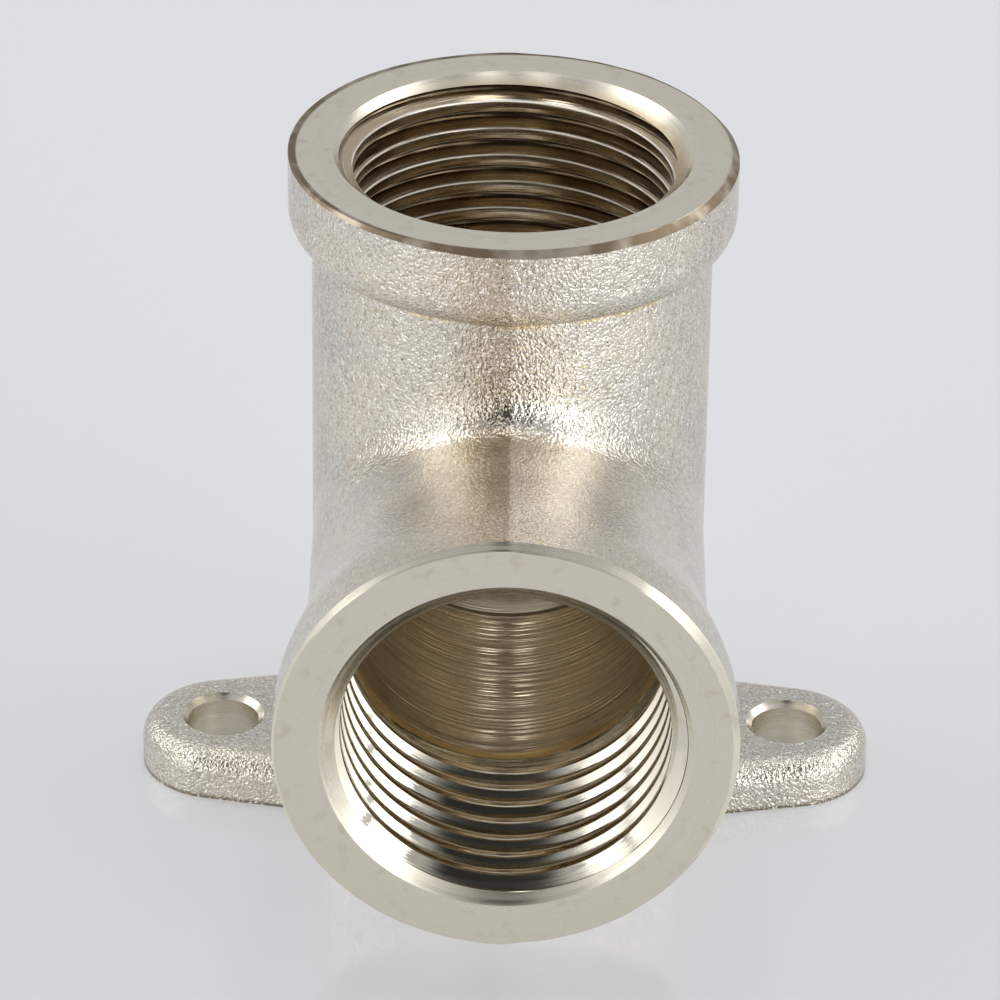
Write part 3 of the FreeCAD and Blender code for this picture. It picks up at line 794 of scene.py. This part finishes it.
def thread_plug(name, form, depth, bore_length, socket_frame, thread_index, bore_index):
    """What is cut from a socket: a thread that fades at its inner end, the bore and the drill point."""
    bm = bmesh.new()
    section = [bm.verts.new((radius, 0, along)) for radius, along in thread_section(form)]
    sides = [bm.edges.new(pair) for pair in zip(section, section[1:])]
    turns = math.ceil(depth / form.pitch) + SPARE_TURNS
    bmesh.ops.spin(
        bm, geom=section + sides, cent=(0, 0, 0), axis=(0, 0, 1), steps=turns * form.thread_steps,
        angle=math.tau * turns, dvec=(0, 0, form.pitch / form.thread_steps), use_merge=False)
    bmesh.ops.translate(bm, verts=bm.verts, vec=(0, 0, -depth - SPARE_TURNS / 2 * form.pitch))
    bmesh.ops.remove_doubles(bm, verts=bm.verts, dist=HAIR)
    out_of_face = form.pitch / 3
    for height, way in ((-depth, -1), (out_of_face, 1)):
        everything = bm.verts[:] + bm.edges[:] + bm.faces[:]
        bmesh.ops.bisect_plane(
            bm, geom=everything, plane_co=(0, 0, height), plane_no=(0, 0, way), clear_outer=True, dist=HAIR)
    for vert in bm.verts:
        fade = min((vert.co.z + depth) / (form.run_out * form.pitch), 1)
        radius = vert.co.xy.length
        vert.co.xy *= (BORE_RADIUS + (radius - BORE_RADIUS) * fade) / radius
    for face in bm.faces:
        face.material_index = thread_index

    foot = [
        edge for edge in bm.edges
        if edge.is_boundary and all(vert.co.z < -depth / 2 for vert in edge.verts)
    ]
    bore_end = form.mouth_depth + bore_length
    point = BORE_RADIUS / math.tan(form.drill_angle / 2)
    for height, width in ((-bore_end, 1), (-bore_end - point, 0)):
        made = bmesh.ops.extrude_edge_only(bm, edges=foot)["geom"]
        for item in made:
            if isinstance(item, bmesh.types.BMVert):
                item.co = (item.co.x * width, item.co.y * width, height)
            if isinstance(item, bmesh.types.BMFace):
                item.material_index = bore_index
        foot = [item for item in made if isinstance(item, bmesh.types.BMEdge) and item.is_boundary]
    bmesh.ops.remove_doubles(bm, verts=bm.verts, dist=HAIR)
    bmesh.ops.holes_fill(bm, edges=[edge for edge in bm.edges if edge.is_boundary], sides=0)
    bmesh.ops.recalc_face_normals(bm, faces=bm.faces)
    bm.transform(socket_frame)
    return new_object(name, bm)


def mouth_cone(name, form, socket_frame, finish_index):
    """The bevel of a mouth as a cone that runs on past the bore and out of the face."""
    slope = (form.mouth_radius - BORE_RADIUS) / form.mouth_depth
    inner = -CONE_PAST_BORE * form.mouth_depth
    outer = CONE_PAST_FACE * form.mouth_depth
    bm = bmesh.new()
    bmesh.ops.create_cone(
        bm, cap_ends=True, segments=form.thread_steps * 2, depth=outer - inner,
        radius1=form.mouth_radius + slope * inner, radius2=form.mouth_radius + slope * outer)
    bmesh.ops.translate(bm, verts=bm.verts, vec=(0, 0, (outer + inner) / 2))
    for face in bm.faces:
        face.material_index = finish_index
    bm.transform(socket_frame)
    return new_object(name, bm)


def cut_away(piece, cutters):
    """Cut each cutter from the piece and keep the result as the piece's own mesh."""
    for cutter in cutters:
        cut = piece.modifiers.new(cutter.name, "BOOLEAN")
        cut.operation = "DIFFERENCE"
        cut.solver = "EXACT"
        cut.object = cutter
    whole = len(piece.data.polygons)
    ready = piece.evaluated_get(bpy.context.evaluated_depsgraph_get())
    mesh = bpy.data.meshes.new_from_object(ready)
    piece.modifiers.clear()
    solid = piece.data
    piece.data = mesh
    bpy.data.meshes.remove(solid)
    for cutter in cutters:
        shape = cutter.data
        bpy.data.objects.remove(cutter)
        bpy.data.meshes.remove(shape)
    if len(mesh.polygons) <= whole:
        raise RuntimeError("the sockets cut nothing")


def shade(piece):
    """Smooth faces between sharp edges, with the wide faces leading the shading."""
    bm = bmesh.new()
    bm.from_mesh(piece.data)
    bmesh.ops.remove_doubles(bm, verts=bm.verts, dist=HAIR)
    bmesh.ops.dissolve_degenerate(bm, edges=bm.edges, dist=HAIR)
    bmesh.ops.triangulate(bm, faces=[face for face in bm.faces if len(face.verts) > 4])
    for face in bm.faces:
        face.smooth = True
    for edge in bm.edges:
        zones = {face.material_index for face in edge.link_faces}
        edge.smooth = len(zones) == 1 and edge.calc_face_angle(0) < SHARP
    bm.to_mesh(piece.data)
    bm.free()
    even = piece.modifiers.new("even_shading", "WEIGHTED_NORMAL")
    even.keep_sharp = True


class ELBOW_OT_body(bpy.types.Operator):
    """Dress the elbow's body: ridge, rim facets, threads and plated finishes"""

    bl_idname = "elbow.body"
    bl_label = "Elbow Body"

    def execute(self, context):
        form = context.scene.elbow_form
        bm = merged_copy(NODE)
        strip_sockets(bm, form)
        for face in bm.faces:
            face.material_index = DRILLED if in_ear_hole(face) else SKIN
        raise_parting_ridge(bm, form)
        close_rim(bm, form, OUTLET_FRAME, form.outlet_widest, OUTLET_FACE)
        close_rim(bm, form, INLET_FRAME, form.inlet_widest, INLET_FACE)
        bmesh.ops.recalc_face_normals(bm, faces=bm.faces)
        if any(not edge.is_manifold for edge in bm.edges):
            raise RuntimeError("the elbow's skin isn't closed")
        piece = new_object("elbow", bm)
        cutters = [
            mouth_cone("outlet_mouth", form, OUTLET_FRAME, OUTLET_FACE),
            mouth_cone("inlet_mouth", form, INLET_FRAME, INLET_FACE),
            thread_plug(
                "outlet_plug", form, form.outlet_thread, OUTLET_BORE_LENGTH,
                OUTLET_FRAME, OUTLET_THREAD, OUTLET_BORE),
            thread_plug(
                "inlet_plug", form, form.inlet_thread, INLET_BORE_LENGTH,
                INLET_FRAME, INLET_THREAD, INLET_BORE),
        ]
        finishes = elbow_materials(form, context.scene.elbow_finish)
        for part in (piece, *cutters):
            for material in finishes:
                part.data.materials.append(material)
        cut_away(piece, cutters)
        shade(piece)
        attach(piece, BODY)
        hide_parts(NODE)
        return {"FINISHED"}


def make_floor(stage):
    """A round glossy table that glows only where it is seen, itself or in a mirror image."""
    bm = bmesh.new()
    bmesh.ops.create_circle(bm, cap_ends=True, segments=FLOOR_STEPS, radius=stage.floor_radius)
    floor = new_object("table", bm)
    material, tree, shader = new_material("table_gloss")
    shader.inputs["Base Color"].default_value = opaque(stage.floor_colour)
    shader.inputs["Roughness"].default_value = stage.floor_gloss
    shader.inputs["Specular IOR Level"].default_value = stage.floor_mirror
    shader.inputs["Emission Color"].default_value = opaque(stage.floor_glow)
    path = tree.nodes.new("ShaderNodeLightPath").outputs
    seen = math_node(tree, "MAXIMUM", path["Is Camera Ray"], path["Is Glossy Ray"])
    seen = math_node(tree, "MAXIMUM", seen, path["Is Transmission Ray"])
    tree.links.new(seen, shader.inputs["Emission Strength"])
    floor.data.materials.append(material)


def soft_lamp(name, at, width, height, power):
    """A flat lamp that faces the elbow's middle."""
    data = bpy.data.lights.new(name, "AREA")
    data.shape = "RECTANGLE"
    data.size = width
    data.size_y = height
    data.energy = power
    lamp = bpy.data.objects.new(name, data)
    middle = (CAD_LOW + CAD_HIGH) / 2
    lamp.location = at
    lamp.rotation_euler = (middle - Vector(at)).to_track_quat("-Z", "Y").to_euler()
    lamp.visible_camera = False
    bpy.context.scene.collection.objects.link(lamp)


def make_lamps(stage):
    """A pair of lamps beside the elbow, and a pair in front of it."""
    sides = (("left", -1, stage.front_left), ("right", 1, stage.front_right))
    x, y, z = stage.side_place
    for name, side, _ in sides:
        soft_lamp(f"{name}_lamp", (side * x, y, z), stage.side_size, stage.side_size, stage.side_light)
    x, y, z = stage.front_place
    for name, side, power in sides:
        soft_lamp(f"front_{name}_lamp", (side * x, y, z), stage.front_width, stage.front_height, power)


def make_camera(stage):
    """The photograph's camera."""
    data = bpy.data.cameras.new("camera")
    data.sensor_width = SENSOR_WIDTH
    data.lens = stage.camera_lens
    data.clip_start = CLIP_NEAR
    data.clip_end = CLIP_FAR
    camera = bpy.data.objects.new("camera", data)
    level = math.radians(90)
    aim = Euler((level - stage.camera_pitch, 0, stage.camera_turn)).to_matrix()
    lean = Matrix.Rotation(stage.camera_roll, 3, "Z")
    camera.matrix_world = Matrix.Translation(stage.camera_place) @ (aim @ lean).to_4x4()
    bpy.context.scene.collection.objects.link(camera)
    bpy.context.scene.camera = camera


def make_world(stage):
    """A pale room with a dark gap behind the camera and another overhead, between two bright strips."""
    world = bpy.data.worlds.new("room")
    world.use_nodes = True
    tree = world.node_tree
    background = tree.nodes["Background"]
    heading = tree.nodes.new("ShaderNodeTexCoord").outputs["Generated"]
    parts = add_node(tree, "ShaderNodeSeparateXYZ", {"Vector": heading}).outputs
    flat = add_node(tree, "ShaderNodeCombineXYZ", {"X": parts["X"], "Y": parts["Y"]}).outputs["Vector"]
    level = add_node(tree, "ShaderNodeVectorMath", {0: flat}, operation="LENGTH").outputs["Value"]
    ahead = math_node(tree, "DIVIDE", math_node(tree, "MULTIPLY", parts["Y"], -1.0), level)
    gap = stretch(tree, ahead, math.cos(stage.gap_outer), math.cos(stage.gap_inner))
    above = stretch(tree, parts["Z"], math.sin(stage.gap_low), math.sin(stage.gap_full))
    gap = math_node(tree, "MULTIPLY", gap, above)
    zenith = stretch(tree, parts["Z"], math.cos(stage.zenith_outer), math.cos(stage.zenith_inner))
    aside = math_node(tree, "SUBTRACT", math_node(tree, "ABSOLUTE", parts["X"]), math.sin(stage.strip_turn))
    aside = math_node(tree, "ABSOLUTE", aside)
    strip = math.sin(stage.strip_half)
    beside_strip = stretch(tree, aside, strip / 2, strip, stage.strip_light, stage.gap_light)
    room = stretch(tree, parts["Y"], ROOM_NEAR, ROOM_FAR, stage.front_light, stage.back_light)
    light = stretch(tree, gap, 0.0, 1.0, room, stage.gap_light)
    light = stretch(tree, zenith, 0.0, 1.0, light, beside_strip)
    give(tree, background.inputs["Color"], opaque(stage.room_colour))
    give(tree, background.inputs["Strength"], light)
    bpy.context.scene.world = world


class ELBOW_OT_stage(bpy.types.Operator):
    """Set the table, the room, the lamps and the camera"""

    bl_idname = "elbow.stage"
    bl_label = "Stage"

    def execute(self, context):
        stage = context.scene.elbow_stage
        make_floor(stage)
        make_world(stage)
        make_lamps(stage)
        make_camera(stage)
        context.scene.view_settings.view_transform = "Standard"
        return {"FINISHED"}


class ELBOW_PT_tools(bpy.types.Panel):
    """The elbow's pieces, sizes and finishes"""

    bl_idname = "ELBOW_PT_tools"
    bl_label = "Wall Plate Elbow"
    bl_space_type = "VIEW_3D"
    bl_region_type = "UI"
    bl_category = "Elbow"

    def draw(self, context):
        for operator in OPERATORS:
            self.layout.operator(operator.bl_idname)
        for title, group in SETTINGS.items():
            settings = getattr(context.scene, title)
            box = self.layout.box()
            for name in group.__annotations__:
                box.prop(settings, name)


OPERATORS = (ELBOW_OT_body, ELBOW_OT_stage)
SETTINGS = {"elbow_form": ElbowForm, "elbow_finish": ElbowFinish, "elbow_stage": ElbowStage}
CLASSES = (*SETTINGS.values(), *OPERATORS, ELBOW_PT_tools)


def register():
    """Add the classes, and the settings of every scene."""
    for item in CLASSES:
        bpy.utils.register_class(item)
    for title, group in SETTINGS.items():
        setattr(bpy.types.Scene, title, PointerProperty(type=group))


def unregister():
    """Take the settings and the classes away again."""
    for title in SETTINGS:
        delattr(bpy.types.Scene, title)
    for item in reversed(CLASSES):
        bpy.utils.unregister_class(item)


def main():
    """Make the elbow and its stage."""
    register()
    bpy.ops.elbow.body()
    bpy.ops.elbow.stage()


if __name__ == "__main__":
    main()
